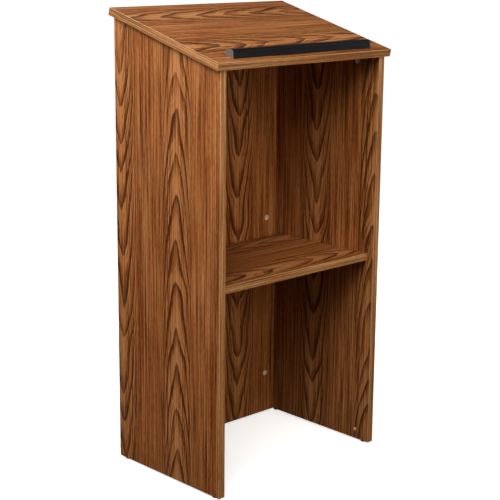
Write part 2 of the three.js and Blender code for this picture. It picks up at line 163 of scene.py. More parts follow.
# One growth ring, from its pale start at 0 to its dark end at 1
SHADE_RISE = (0.45, 0.95)
SHADE, SHADE_AT_TIP = 0.2, 0.3
LINE_START, LINE_START_AT_TIP = 0.64, 0.84
LINE_RISE = 0.12
LINE, LINE_AT_TIP = 0.85, 0.45
RING_END = (1.0, 0.97)
GLOW_RISE, GLOW_FALL = (0.0, 0.05), (0.75, 0.15)
SMUDGE_RISE = (0.5, 0.93)
LIGHTEST_RING, HEAVIEST_RING = 0.45, 1.05
RING_AWAY_FROM_CATHEDRAL = 0.2

# The thinner lines on an arch's flanks
THIN_PER_RING = 3
THIN_RISE, THIN_FALL = (0.5, 0.85), (1.0, 0.88)
THIN_FAINTEST = 0.2
THIN_WEIGHT = 0.8

# How far each layer of noise reaches across and along the grain
DRIFT_SIZE = (1, 260)
TIP_WANDER_SIZE = (1, 150)
ARCH_WANDER_SIZE = (60, 300)
ARCH_RAGGED_SIZE = (12, 150)
STREAK_SIZE = (12, 420)
LINE_SIZE = (3.2, 380)
PALE_SIZE = (2.8, 320)
HAIR_SIZE = (2.4, 260)
FIBRE_SIZE = (1.9, 18)
CLOUD_SIZE = (90, 300)
PORE_SIZE = (0.7, 11)
HUE_SIZE = (6, 320)

# How far the noise moves the rings, in rings
TIP_WANDER = 1.5
ARCH_WANDER = 1.1
ARCH_RAGGED = 0.22

# What each layer adds to the tone, and the stretch of its noise where it sets in
BASE_TONE = 0.61
STREAK_TONE = 0.26
LINE_TONE, LINE_EDGES = 0.66, (0.36, 0.64)
PALE_TONE, PALE_EDGES = 0.34, (0.56, 0.7)
HAIR_TONE, HAIR_EDGES = -0.45, (0.52, 0.66)
FIBRE_TONE = 1.0
CLOUD_TONE = 0.22
PORE_TONE, PORE_EDGES = -0.16, (0.6, 0.72)
RING_TONE = -0.92
GLOW_TONE = 0.3
CATHEDRAL_TONE = 0.08
CATHEDRAL_HUE = -0.06
HUE_EDGES = (0.26, 0.74)
SMUDGE_COLOUR = "#5a3d20"
SMUDGE_COVER = 0.75
EDGING_CONTRAST = 0.7
OAK_RELIEF = 0.06 * MM

# Each board's cathedrals, the lower face's first: which way the tips point, after the
# millimetres to the lectern's front edge, the top's lower edge or the audience panel's middle
SIDE_CATHEDRALS = {"left": ((156, 1), (205, 1)), "right": ((213, -1), (150, -1))}
AUDIENCE_CATHEDRALS = ((121, -1), (35, 1))
SHELF_CATHEDRALS = ((120, -1), (78, 1))
TOP_CATHEDRALS = ((120, -1), (322, -1))
SIDE_SEEDS = {"left": 11, "right": 47}
SIDE_RED = {"left": 0.02, "right": -0.07}

# Studio, in metres and degrees, with the lens in millimetres
AIM = Vector((0, 0, 0.7))
LAMP_SIZE = 1.2
LAMP_DISTANCE = 2.4
WORLD_STRENGTH = 0.06
CAMERA_PLACE = (-2.3072, -2.3976, 1.3492)
CAMERA_YAW = -43.86
CAMERA_PITCH = -13.504
CAMERA_ROLL = 0.52
CAMERA_LENS = 95.4


# ---- Frames of reference ----

def seat(origin, axis, across):
    """A frame whose Z runs along axis and whose X runs along across."""
    z = Vector(axis).normalized()
    x = Vector(across).normalized()
    y = z.cross(x)
    turn = Matrix((x, y, z)).transposed().to_4x4()
    return Matrix.Translation(Vector(origin)) @ turn


def slope_seat():
    """X across, Y up the slope, Z out of the board, from the top board's lower front edge."""
    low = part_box("top_front_edge_band")[0]
    origin = Vector((0, low.y + BOARD * math.sin(SLOPE), low.z))
    return Matrix.Translation(origin) @ Matrix.Rotation(SLOPE, 4, "X")


slope = slope_seat()
SLOPE_UP = (slope.to_3x3() @ Z_AXIS).normalized()
SLOPE_ALONG = (slope.to_3x3() @ Y_AXIS).normalized()


def top_board_length():
    """How far the top board reaches up its slope, with its edge bands."""
    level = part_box("top_rear_edge_band")[1].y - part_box("top_front_edge_band")[0].y
    return (level - BOARD * math.sin(SLOPE)) / math.cos(SLOPE)


def lock_seats():
    """Each cam lock's place: origin on the host's face, Z out of it, X towards the mate."""
    seats = {}
    for joint in frame["joints"]:
        place = joint["child"].removeprefix("cam_")
        origin = Vector(joint["pos_m"])
        across = SLOPE_UP if place.startswith("top") else X_AXIS * math.copysign(1, origin.x)
        seats[place] = seat(origin, joint["axis"], across)
    return seats


def middle(node):
    low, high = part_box(node)
    return (low + high) / 2


# ---- Mesh work ----

def mesh_object(name, bm, materials):
    bmesh.ops.recalc_face_normals(bm, faces=bm.faces)
    mesh = bpy.data.meshes.new(name)
    bm.to_mesh(mesh)
    bm.free()
    obj = bpy.data.objects.new(name, mesh)
    bpy.context.scene.collection.objects.link(obj)
    for material in materials:
        mesh.materials.append(material)
    return obj


def smooth(obj, angle=35):
    """Smooth shading that keeps edges sharper than the angle, with flat faces kept flat."""
    obj.data.shade_smooth()
    obj.data.set_sharp_from_angle(angle=math.radians(angle))
    weighted = obj.modifiers.new("flat faces", "WEIGHTED_NORMAL")
    weighted.keep_sharp = True
    return obj


def applied(obj):
    """Turns the object's modifiers into its mesh."""
    depsgraph = bpy.context.evaluated_depsgraph_get()
    mesh = bpy.data.meshes.new_from_object(obj.evaluated_get(depsgraph))
    obj.modifiers.clear()
    obj.data = mesh
    return obj


def prism(section, x0, x1):
    """A closed outline of Y and Z pairs, carried along X."""
    bm = bmesh.new()
    start = bm.faces.new([bm.verts.new((x0, y, z)) for y, z in section])
    carried = bmesh.ops.extrude_face_region(bm, geom=[start])["geom"]
    verts = [v for v in carried if isinstance(v, bmesh.types.BMVert)]
    bmesh.ops.translate(bm, vec=(x1 - x0, 0, 0), verts=verts)
    return bm


def rectangle(y0, y1, z0, z1):
    return [(y0, z0), (y1, z0), (y1, z1), (y0, z1)]


def round_off(bm, radius, segments, wanted=lambda edge: True):
    edges = [e for e in bm.edges if wanted(e) and e.calc_face_angle(0) > math.radians(40)]
    bmesh.ops.bevel(
        bm, geom=edges, offset=radius, segments=segments, profile=0.5, affect="EDGES"
    )
    return bm


def lathe(profile, segments, ripple=None):
    """Turns radius and height pairs about Z. ripple(angle, height) adds to each radius."""
    bm = bmesh.new()
    rings = []
    for radius, height in profile:
        if radius == 0:
            rings.append([bm.verts.new((0, 0, height))])
            continue
        ring = []
        for i in range(segments):
            angle = 2 * math.pi * i / segments
            r = radius + (ripple(angle, height) if ripple else 0)
            ring.append(bm.verts.new((r * math.cos(angle), r * math.sin(angle), height)))
        rings.append(ring)
    for below, above in zip(rings, rings[1:]):
        for i in range(segments):
            j = (i + 1) % segments
            corners = [below[i % len(below)], below[j % len(below)]]
            corners += [above[j % len(above)], above[i % len(above)]]
            bm.faces.new(list(dict.fromkeys(corners)))
    return bm


def rod(radius, z0, z1, segments=48):
    return lathe([(0, z0), (radius, z0), (radius, z1), (0, z1)], segments)


def moved(bm, matrix):
    bm.transform(matrix)
    return bm


def drilled(obj, cutters):
    """Cuts solids out of an object, all in one go."""
    tool_mesh = bpy.data.meshes.new("cutters")
    joined = bmesh.new()
    for cutter in cutters:
        bmesh.ops.recalc_face_normals(cutter, faces=cutter.faces)
        piece = bpy.data.meshes.new("cutter")
        cutter.to_mesh(piece)
        cutter.free()
        joined.from_mesh(piece)
        bpy.data.meshes.remove(piece)
    joined.to_mesh(tool_mesh)
    joined.free()
    tool = bpy.data.objects.new("cutters", tool_mesh)
    bpy.context.scene.collection.objects.link(tool)
    cut = obj.modifiers.new("drilling", "BOOLEAN")
    cut.operation = "DIFFERENCE"
    cut.solver = "EXACT"
    cut.use_self = True
    cut.object = tool
    applied(obj)
    bpy.data.objects.remove(tool)
    return obj


def paint(obj, slot, wanted):
    """Gives a material slot to the faces that wanted(centre, normal) picks."""
    for face in obj.data.polygons:
        if wanted(face.center, face.normal):
            face.material_index = slot


def stand_for(obj, node, body=CARCASS):
    obj.name = f"{node}_finished"
    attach(obj, body)
    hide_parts(node)
    return obj


# ---- Material work ----

def linear(hex_colour):
    """The linear colour of an sRGB hex one."""
    parts = [int(hex_colour[i:i + 2], 16) / 255 for i in (1, 3, 5)]
    return [c / 12.92 if c <= 0.04045 else ((c + 0.055) / 1.055) ** 2.4 for c in parts] + [1]


class Surface:
    """A material's nodes. Sockets and plain numbers go in alike."""

    def __init__(self, name):
        self.material = bpy.data.materials.new(name)
        self.material.use_nodes = True
        self.nodes = self.material.node_tree.nodes
        self.links = self.material.node_tree.links
        self.nodes.clear()
        output = self.nodes.new("ShaderNodeOutputMaterial")
        self.shader = self.nodes.new("ShaderNodeBsdfPrincipled")
        self.links.new(self.shader.outputs["BSDF"], output.inputs["Surface"])
        self.place = self.nodes.new("ShaderNodeTexCoord").outputs["Object"]

    def feed(self, socket, value):
        if isinstance(value, bpy.types.NodeSocket):
            self.links.new(value, socket)
        else:
            socket.default_value = value

    def math(self, operation, *values):
        node = self.nodes.new("ShaderNodeMath")
        node.operation = operation
        for socket, value in zip(node.inputs, values):
            self.feed(socket, value)
        return node.outputs[0]

    def step(self, value, low, high):
        """0 below low, 1 above high, and smooth between."""
        node = self.nodes.new("ShaderNodeMapRange")
        node.interpolation_type = "SMOOTHSTEP"
        self.feed(node.inputs["Value"], value)
        self.feed(node.inputs["From Min"], low)
        self.feed(node.inputs["From Max"], high)
        return node.outputs["Result"]

    def reach(self, direction):
        """The distance along a direction, in millimetres."""
        node = self.nodes.new("ShaderNodeVectorMath")
        node.operation = "DOT_PRODUCT"
        self.feed(node.inputs[0], self.place)
        node.inputs[1].default_value = Vector(direction) / MM
        return node.outputs["Value"]

    def xyz(self):
        """The place along each axis, in millimetres."""
        return [self.reach(axis) for axis in (X_AXIS, Y_AXIS, Z_AXIS)]

    def length(self):
        """The distance from the middle of the lectern's foot, in millimetres."""
        node = self.nodes.new("ShaderNodeVectorMath")
        node.operation = "LENGTH"
        self.feed(node.inputs[0], self.place)
        return self.math("DIVIDE", node.outputs["Value"], MM)

    def point(self, x, y, z):
        node = self.nodes.new("ShaderNodeCombineXYZ")
        for socket, value in zip(node.inputs, (x, y, z)):
            self.feed(socket, value)
        return node.outputs[0]

    def noise(self, point, detail=2, roughness=0.5, scale=1):
        node = self.nodes.new("ShaderNodeTexNoise")
        self.feed(node.inputs["Vector"], point)
        node.inputs["Scale"].default_value = scale
        node.inputs["Detail"].default_value = detail
        node.inputs["Roughness"].default_value = roughness
        return node.outputs["Fac"]

    def grain(self, u, v, size, seed, detail=2, roughness=0.5):
        """Noise drawn out along the grain: size is its reach across and along it."""
        across, along = size
        point = self.point(self.math("DIVIDE", u, across), self.math("DIVIDE", v, along), seed)
        return self.noise(point, detail, roughness)

    def chance(self, value):
        """A random number from 0 to 1 for each value."""
        node = self.nodes.new("ShaderNodeTexWhiteNoise")
        node.noise_dimensions = "1D"
        self.feed(node.inputs["W"], value)
        return node.outputs["Value"]

    def cells(self, point, scale):
        node = self.nodes.new("ShaderNodeTexVoronoi")
        self.feed(node.inputs["Vector"], point)
        node.inputs["Scale"].default_value = scale
        return node.outputs

    def ramp(self, value, stops):
        node = self.nodes.new("ShaderNodeValToRGB")
        self.feed(node.inputs["Fac"], value)
        elements = node.color_ramp.elements
        while len(elements) < len(stops):
            elements.new(0.5)
        for element, (position, colour) in zip(elements, stops):
            element.position = position
            element.color = linear(colour)
        return node.outputs["Color"]

    def blend(self, share, first, second):
        node = self.nodes.new("ShaderNodeMix")
        node.data_type = "RGBA"
        self.feed(node.inputs["Factor"], share)
        self.feed(node.inputs["A"], first)
        self.feed(node.inputs["B"], second)
        return node.outputs["Result"]

    def total(self, *values):
        result = values[0]
        for value in values[1:]:
            result = self.math("ADD", result, value)
        return result

    def times(self, *values):
        result = values[0]
        for value in values[1:]:
            result = self.math("MULTIPLY", result, value)
        return result

    def ranged(self, value, at_zero, at_one):
        """Goes from at_zero to at_one as the value goes from 0 to 1."""
        return self.math("MULTIPLY_ADD", value, at_one - at_zero, at_zero)

    def swing(self, noise, size):
        """A noise about its middle, from about minus to plus a third of the size."""
        return self.math("MULTIPLY_ADD", noise, size, -size / 2)

    def dent(self, height, depth, strength=1.0):
        node = self.nodes.new("ShaderNodeBump")
        node.inputs["Distance"].default_value = depth
        node.inputs["Strength"].default_value = strength
        self.feed(node.inputs["Height"], height)
        self.links.new(node.outputs["Normal"], self.shader.inputs["Normal"])

    def finish(self, **settings):
        """Sets the shader's sockets: underscores stand for spaces in their names."""
        for name, value in settings.items():
            self.feed(self.shader.inputs[name.replace("_", " ")], value)
        return self.material


# The oak's three tones, each from its dark grain to its palest
OCHRE = [(0, "#4a2408"), (0.3, "#7a441c"), (0.6, "#945c30"), (1, "#b47c4c")]
RUSSET = [(0, "#481c04"), (0.3, "#7a3a14"), (0.6, "#945224"), (1, "#b0703c")]
TAN = [(0, "#502c14"), (0.4, "#8c6036"), (1, "#cca070")]


def veneer_leaf(s, u, v, seed):
    """The leaf's own seed, its flip, and how far the point is across from its middle."""
    at = s.math("ADD", s.math("DIVIDE", u, LEAF_WIDTH), 0.5)
    leaf = s.math("FLOOR", at)
    flip = s.ranged(s.math("FLOORED_MODULO", leaf, 2), 1, -1)
    own = s.total(seed, s.times(leaf, LEAF_SEED_STEP))
    drift = s.swing(s.grain(0, v, DRIFT_SIZE, own, 1), CATHEDRAL_DRIFT)
    offset = s.math("SUBTRACT", s.math("SUBTRACT", at, leaf), 0.5)
    return own, flip, s.math("MULTIPLY_ADD", offset, LEAF_WIDTH, drift)


def growth_rings(s, u, v, own, flip, t, reach):
    """The count of growth rings, whose level lines are the arches."""
    return s.total(
        s.times(reach, ARCH_POINT),
        s.times(t, t, ARCH_SPREAD),
        s.times(t, ARCH_LEAN),
        s.math("POWER", s.math("DIVIDE", reach, ARCH_LIMIT), ARCH_LIMIT_POWER),
        s.math("DIVIDE", s.times(v, flip), TIP_SPACING),
        s.swing(s.grain(0, v, TIP_WANDER_SIZE, s.total(own, 9), 1), TIP_WANDER),
        s.swing(s.grain(u, v, ARCH_WANDER_SIZE, own, 1), ARCH_WANDER),
        s.swing(s.grain(u, v, ARCH_RAGGED_SIZE, own, 1), ARCH_RAGGED),
    )


def late_wood(s, phase, tip):
    """A ring's dark side: a shade that deepens, and a line that is thinner at the tips."""
    shade = s.times(s.step(phase, *SHADE_RISE), s.ranged(tip, SHADE, SHADE_AT_TIP))
    starts = s.ranged(tip, LINE_START, LINE_START_AT_TIP)
    line = s.step(phase, starts, s.total(starts, LINE_RISE))
    line = s.times(line, s.ranged(tip, LINE, LINE_AT_TIP))
    return s.times(s.total(shade, line), s.step(phase, *RING_END))


def thin_lines(s, rings, own):
    """Closer lines between the rings, each as strong as its own luck."""
    closer = s.times(rings, THIN_PER_RING)
    index = s.math("FLOOR", closer)
    phase = s.math("SUBTRACT", closer, index)
    line = s.times(s.step(phase, *THIN_RISE), s.step(phase, *THIN_FALL))
    return s.times(line, s.ranged(s.chance(s.total(index, own)), THIN_FAINTEST, 1))


def cathedral(s, u, v, seed):
    """The rings' dark lines and bright middles, the column they fill, their smudged tips,
    and the leaf's own seed."""
    own, flip, t = veneer_leaf(s, u, v, seed)
    reach = s.math("SQRT", s.math("MULTIPLY_ADD", t, t, ARCH_BLUNT ** 2))
    rings = growth_rings(s, u, v, own, flip, t, reach)
    index = s.math("FLOOR", rings)
    phase = s.math("SUBTRACT", rings, index)
    weight = s.ranged(s.chance(s.total(index, own)), LIGHTEST_RING, HEAVIEST_RING)
    tip = s.step(reach, *TIP_EDGES)
    near = s.step(reach, CATHEDRAL_FADE, CATHEDRAL_HALF)
    shown = s.ranged(near, RING_AWAY_FROM_CATHEDRAL, 1)
    flank = s.times(s.math("SUBTRACT", 1, tip), near)
    main = s.times(late_wood(s, phase, tip), weight, shown)
    dark = s.total(main, s.times(thin_lines(s, rings, own), flank, THIN_WEIGHT))
    glow = s.times(s.step(phase, *GLOW_RISE), s.step(phase, *GLOW_FALL), s.step(reach, *CORE_EDGES))
    smudge = s.times(s.step(phase, *SMUDGE_RISE), s.step(phase, *RING_END))
    smudge = s.times(smudge, s.step(reach, *SMUDGE_EDGES), weight)
    return dark, glow, near, smudge, own


def board_faces(s, along, across, through, middle_mm, cathedrals, seed):
    """Places across and along the grain, and a seed, for each of a board's two faces."""
    (low_at, low_way), (high_at, high_way) = cathedrals
    upper = s.math("GREATER_THAN", s.reach(through), middle_mm)
    u = s.math("SUBTRACT", s.reach(across), s.ranged(upper, low_at, high_at))
    v = s.times(s.reach(along), s.ranged(upper, low_way, high_way))
    return u, v, s.ranged(upper, seed, seed + FACE_SEED_STEP)


def straight_grain(s, u, v, own, fibres, contrast):
    """The tone of the print without its arches."""
    streaks = s.grain(u, v, STREAK_SIZE, own, 2, 0.6)
    lines = s.grain(u, v, LINE_SIZE, own, 2, 0.75)
    pale = s.grain(u, v, PALE_SIZE, s.total(own, 5), 1)
    hairs = s.grain(u, v, HAIR_SIZE, s.total(own, 8), 1)
    clouds = s.grain(u, v, CLOUD_SIZE, own, 1)
    pores = s.grain(u, v, PORE_SIZE, own, 1)
    return s.total(
        BASE_TONE,
        s.swing(streaks, STREAK_TONE * contrast),
        s.swing(s.step(lines, *LINE_EDGES), LINE_TONE * contrast),
        s.times(s.step(pale, *PALE_EDGES), PALE_TONE * contrast),
        s.times(s.step(hairs, *HAIR_EDGES), HAIR_TONE * contrast),
        s.swing(fibres, FIBRE_TONE * contrast),
        s.swing(clouds, CLOUD_TONE * contrast),
        s.times(s.step(pores, *PORE_EDGES), PORE_TONE),
    )


def oak(name, along, across, through, middle_mm, cathedrals, seed, figured=True, red=0.03):
    """Oak-look laminate. cathedrals holds, for the lower and the higher face along through,
    where one runs across the grain and which way its tips point."""
    s = Surface(name)
    u, v, sheet = board_faces(s, along, across, through, middle_mm, cathedrals, seed)
    if figured:
        dark, glow, near, smudge, own = cathedral(s, u, v, sheet)
        ramps, contrast = (OCHRE, RUSSET), 1
    else:
        dark, glow, near, smudge, own = 0, 0, 0, 0, sheet
        ramps, contrast = (TAN, OCHRE), EDGING_CONTRAST
    fibres = s.grain(u, v, FIBRE_SIZE, own, 2, 0.6)
    value = s.total(
        straight_grain(s, u, v, own, fibres, contrast),
        s.times(dark, RING_TONE),
        s.times(glow, GLOW_TONE),
        s.times(near, CATHEDRAL_TONE),
    )
    hue = s.grain(u, v, HUE_SIZE, s.total(own, 3))
    hue = s.total(hue, red, s.times(near, CATHEDRAL_HUE))
    first, second = (s.ramp(value, ramp) for ramp in ramps)
    colour = s.blend(s.step(hue, *HUE_EDGES), first, second)
    colour = s.blend(s.times(smudge, SMUDGE_COVER), colour, linear(SMUDGE_COLOUR))
    roughness = s.total(0.46, s.swing(fibres, 0.16), s.times(dark, 0.06))
    s.dent(s.total(fibres, s.times(dark, -0.5)), OAK_RELIEF, 0.5)
    return s.finish(Base_Color=colour, Roughness=roughness, Specular_IOR_Level=0.2)


def chipboard():
    """The boards' raw core, seen at unbanded edges and in the bores."""
    s = Surface("chipboard_core")
    point = s.point(*s.xyz())
    flakes = s.cells(point, 0.45)
    shade = s.chance(s.noise(flakes["Position"], 0, scale=0.7))
    grit = s.noise(point, 3, scale=1.6)
    value = s.total(s.times(shade, 0.5), s.swing(grit, 0.5), 0.25)
    colour = s.ramp(value, [(0, "#6e5132"), (0.5, "#a98556"), (1, "#d3b684")])
    s.dent(value, 0.3 * MM, 0.7)
    return s.finish(Base_Color=colour, Roughness=s.ranged(grit, 0.8, 0.95))


def edging(name, along, across, seed):
    """Thin plastic edging printed with straight grain, the same on every face."""
    everywhere_lower = 1e6
    no_cathedrals = ((0, 1), (0, 1))
    return oak(name, along, across, X_AXIS, everywhere_lower, no_cathedrals, seed, figured=False)


def painted_highlight_edging():
    """The rounded corner of the edging, painted paler: a painted highlight along the arris."""
    s = Surface("edging_painted_highlight")
    point = s.point(*s.xyz())
    highlight_mottle = s.noise(point, 3, scale=0.5)
    colour = s.ramp(highlight_mottle, [(0.25, "#a87c4e"), (0.5, "#c89a66"), (0.75, "#dcb380")])
    s.dent(highlight_mottle, 0.05 * MM, 0.6)
    return s.finish(Base_Color=colour, Roughness=s.ranged(highlight_mottle, 0.35, 0.55))


def black_plastic(name, grain, lines_along, lightest="#201f22", rough=0.36):
    """Moulded or extruded black plastic, with drawn lines along its length."""
    s = Surface(name)
    x, y, z = s.xyz()
    drawn = s.noise(s.point(s.math("DIVIDE", x, lines_along), y, z), 2)
    pebble = s.noise(s.point(x, y, z), 2, scale=grain)
    value = s.total(s.swing(drawn, 0.7), s.swing(pebble, 0.5), 0.5)
    colour = s.ramp(value, [(0.1, "#070607"), (0.5, "#100f12"), (0.9, lightest)])
    roughness = s.total(rough, s.swing(pebble, 0.18), s.swing(drawn, 0.12))
    s.dent(s.total(pebble, drawn), 0.04 * MM, 0.4)
    return s.finish(Base_Color=colour, Roughness=roughness, Specular_IOR_Level=0.22)


def sawn_and_highlit_end():
    """The cut ends of the book stop, dulled by the saw and painted a mid grey: partly the sawn
    surface, partly a painted highlight of a lit end.
    """
    s = Surface("stop_end_sawn_and_highlit")
    y, z = s.reach(Y_AXIS), s.reach(Z_AXIS)
    strokes = s.noise(s.point(0, s.times(y, 2.2), s.math("DIVIDE", z, 5)), 3)
    colour = s.ramp(strokes, [(0.25, "#3f3a37"), (0.5, "#57504b"), (0.75, "#6b635d")])
    s.dent(strokes, 0.12 * MM, 0.8)
    return s.finish(Base_Color=colour, Roughness=s.ranged(strokes, 0.55, 0.75))


def metal(name, dark, light, grain, rough, shine=0.9):
    """Cast or plated metal: blotched, with fine marks from handling."""
    s = Surface(name)
    x, y, z = s.xyz()
    blotches = s.noise(s.point(x, y, z), 3, scale=grain)
    marks = s.noise(s.point(s.times(x, 6), s.math("DIVIDE", y, 2), z), 2, scale=1.5)
    value = s.total(s.swing(blotches, 0.9), s.swing(marks, 0.4), 0.5)
    colour = s.ramp(value, [(0.15, dark), (0.85, light)])
    roughness = s.total(rough, s.swing(blotches, 0.25), s.swing(marks, 0.2))
    s.dent(s.total(blotches, marks), 0.05 * MM, 0.5)
    return s.finish(Base_Color=colour, Roughness=roughness, Metallic=shine)


def beech():
    """The dowels' bare wood, with short flecks."""
    s = Surface("beech")
    x, y, z = s.xyz()
    flecks = s.noise(s.point(s.math("DIVIDE", x, 3), s.times(y, 2), z), 3)
    colour = s.ramp(flecks, [(0.3, "#b08a58"), (0.5, "#cfab78"), (0.7, "#e0c292")])
    s.dent(flecks, 0.1 * MM, 0.5)
    return s.finish(Base_Color=colour, Roughness=s.ranged(flecks, 0.65, 0.85))


def tan_plastic():
    """The plugs' moulded plastic, faintly mottled."""
    s = Surface("tan_plastic")
    point = s.point(*s.xyz())
    mottle = s.noise(point, 3, scale=0.8)
    colour = s.ramp(mottle, [(0.3, "#d0a070"), (0.5, "#e2b688"), (0.7, "#ecc69c")])
    s.dent(mottle, 0.05 * MM, 0.5)
    return s.finish(Base_Color=colour, Roughness=s.ranged(mottle, 0.35, 0.55))


# ---- Fittings: cutters and detailed pieces, in each fitting's own seat ----

def lying(seat_matrix, depth=-BOARD / 2):
    """The frame of a rod that lies in the host board's middle, pointing at the mate."""
    return seat_matrix @ seat((0, 0, depth), (1, 0, 0), (0, 1, 0))


def host_bores(lock):
    shank = rod(SHANK_BORE_RADIUS, 0, CAM_SETBACK + 3 * MM, 32)
    return [
        moved(rod(CAM_BORE_RADIUS, -CAM_BORE_DEPTH, 2 * MM, 64), lock),
        moved(shank, lying(lock)),
    ]


def mate_bore(lock):
    start, end = CAM_SETBACK - 3 * MM, CAM_SETBACK + STUD_LENGTH + 1 * MM
    return moved(rod(STUD_BORE_RADIUS, start, end, 32), lying(lock))


def screw_thread(start, end, pitch, depth):
    """A ripple for lathe(): one helical ridge that fades in and out."""
    def ripple(angle, height):
        if not start < height < end:
            return 0
        turn = (height / pitch - angle / (2 * math.pi)) % 1
        ridge = max(0, 1 - abs(turn - 0.5) * 3.2)
        fade = min(1, (height - start) / pitch, (end - height) / pitch)
        return depth * ridge * fade
    return ripple


def spaced(radius, start, end, gap):
    """Profile points down a plain stretch, close enough to carry a ripple."""
    steps = max(1, round((end - start) / gap))
    return [(radius, start + (end - start) * i / steps) for i in range(steps + 1)]


def bolt_solid():
    neck_angle = math.asin(NECK_RADIUS / BALL_RADIUS)
    steps = 12
    ball = []
    for i in range(steps + 1):
        angle = math.pi - (math.pi - neck_angle) * i / steps
        ball.append((BALL_RADIUS * math.sin(angle), BALL_RADIUS * math.cos(angle)))
    ball[0] = (0, -BALL_RADIUS)
    collar_end = CAM_SETBACK - 0.1 * MM
    collar_start = collar_end - COLLAR_WIDTH
    tip = CAM_SETBACK + STUD_LENGTH
    ease = 0.2 * MM
    profile = ball + [
        (NECK_RADIUS, CAM_RADIUS + 1 * MM),
        (SHANK_RADIUS, CAM_RADIUS + 2 * MM),
        (SHANK_RADIUS, collar_start),
        (COLLAR_RADIUS - ease, collar_start),
        (COLLAR_RADIUS, collar_start + ease),
        (COLLAR_RADIUS, collar_end - ease),
        (COLLAR_RADIUS - ease, collar_end),
    ]
    profile += spaced(STUD_CORE_RADIUS, collar_end, tip - 1.2 * MM, STUD_PITCH / 8)
    profile.append((0, tip))
    depth = SHANK_RADIUS - STUD_CORE_RADIUS
    thread = screw_thread(CAM_SETBACK + 0.5 * MM, tip - 1.2 * MM, STUD_PITCH, depth)
    return lathe(profile, 32, thread)


def ball_room():
    """The spiral inside the drum that draws the bolt's ball in as the drum turns."""
    steps = 36
    outline = []
    for i in range(steps):
        turn = 2 * math.pi * i / steps
        opened = turn / BALL_ROOM_TURN if turn <= BALL_ROOM_TURN else 0
        radius = BALL_ROOM_LOCKED + (BALL_ROOM_OPEN - BALL_ROOM_LOCKED) * opened
        angle = BALL_ROOM_START - turn
        outline.append((radius * math.cos(angle), radius * math.sin(angle)))
    top = -BOARD / 2 + BALL_ROOM_LOCKED
    return upright(outline, top - CAM_HEIGHT, top)


def neck_slot():
    """The slot round the drum that the bolt's neck runs in."""
    reach, steps = CAM_RADIUS + OVERRUN, 20
    outline = [(0, 0)]
    for i in range(steps + 1):
        angle = NECK_SLOT_MARGIN - (math.pi + NECK_SLOT_MARGIN) * i / steps
        outline.append((reach * math.cos(angle), reach * math.sin(angle)))
    level = -BOARD / 2
    return upright(outline, level - NECK_SLOT / 2, level + NECK_SLOT / 2)


def upright(outline, z0, z1, taper=1.0):
    """An outline in X and Y, carried up Z. taper scales its lower end."""
    bm = bmesh.new()
    low = [bm.verts.new((x * taper, y * taper, z0)) for x, y in outline]
    high = [bm.verts.new((x, y, z1)) for x, y in outline]
    bm.faces.new(low)
    bm.faces.new(list(reversed(high)))
    for i in range(len(outline)):
        j = (i + 1) % len(outline)
        bm.faces.new((low[i], high[i], high[j], low[j]))
    return bm


def box_outline(x0, x1, y0, y1):
    return [(x0, y0), (x1, y0), (x1, y1), (x0, y1)]


def drum_blank():
    """The drum before it is cut: a rounded rim, and a lip round a shallow dish."""
    top = -CAM_SUNK
    foot = top - CAM_HEIGHT
    profile = [(0, foot), (CAM_RADIUS - CAM_RIM, foot), (CAM_RADIUS, foot + CAM_RIM)]
    profile += [(CAM_RADIUS - CAM_RIM * (1 - math.sin(a)), top - CAM_RIM * (1 - math.cos(a)))
                for a in (math.pi / 2, math.pi / 3, math.pi / 6, 0)]
    profile += [(CAM_RADIUS - CAM_LIP, top), (CAM_RADIUS - CAM_LIP - CAM_DISH, top - CAM_DISH)]
    profile += [(0, top - CAM_DISH)]
    return lathe(profile, 64)


def driver_recess():
    """Cutters for the screwdriver's cross, with a cone where its arms meet."""
    top, arm, half = -CAM_SUNK, DRIVER_ARM, DRIVER_HALF_WIDTH
    floor, over = top - DRIVER_DEPTH, top + OVERRUN
    cone = [(0, floor), (DRIVER_CONE, top), (DRIVER_CONE, over), (0, over)]
    return [
        lathe(cone, 48),
        upright(box_outline(-arm, arm, -half, half), floor, over, DRIVER_TAPER),
        upright(box_outline(-half, half, -arm, arm), floor, over, DRIVER_TAPER),
    ]


def drum_solid(material):
    """A die-cast drum, with its driver cross, its cam track, and an arrow at the mouth."""
    top = -CAM_SUNK
    foot = top - CAM_HEIGHT
    arrow = [(-ARROW_TIP, 0), (-ARROW_BASE, -ARROW_HALF_WIDTH), (-ARROW_BASE, ARROW_HALF_WIDTH)]
    mouth = box_outline(-CAM_RADIUS - OVERRUN, 0, -MOUTH_HALF_WIDTH, MOUTH_HALF_WIDTH)
    drum = mesh_object("drum", drum_blank(), [material])
    cutters = driver_recess() + [
        upright(arrow, top - ARROW_DEPTH, top + OVERRUN),
        upright(mouth, foot - OVERRUN, -BOARD / 2 + MOUTH_HALF_WIDTH),
        ball_room(),
        neck_slot(),
    ]
    return smooth(drilled(drum, cutters), 30)


def screw_solid():
    head_end = SCREW_SUNK + SCREW_HEAD_DEPTH
    tip_start = STOP_SCREW_LENGTH - 4 * MM
    profile = [
        (0, SCREW_SUNK + 1.5 * MM),
        (1.5 * MM, SCREW_SUNK),
        (SCREW_HEAD_RADIUS - 0.15 * MM, SCREW_SUNK),
        (SCREW_HEAD_RADIUS, SCREW_SUNK + 0.2 * MM),
        (SCREW_RADIUS, head_end),
    ]
    profile += spaced(SCREW_CORE_RADIUS, head_end + 1 * MM, tip_start, SCREW_PITCH / 8)
    profile += [(SCREW_CORE_RADIUS * 0.5, STOP_SCREW_LENGTH - 1.5 * MM), (0, STOP_SCREW_LENGTH)]
    depth = SCREW_RADIUS - SCREW_CORE_RADIUS
    return lathe(profile, 24, screw_thread(head_end + 1.5 * MM, tip_start, SCREW_PITCH, depth))


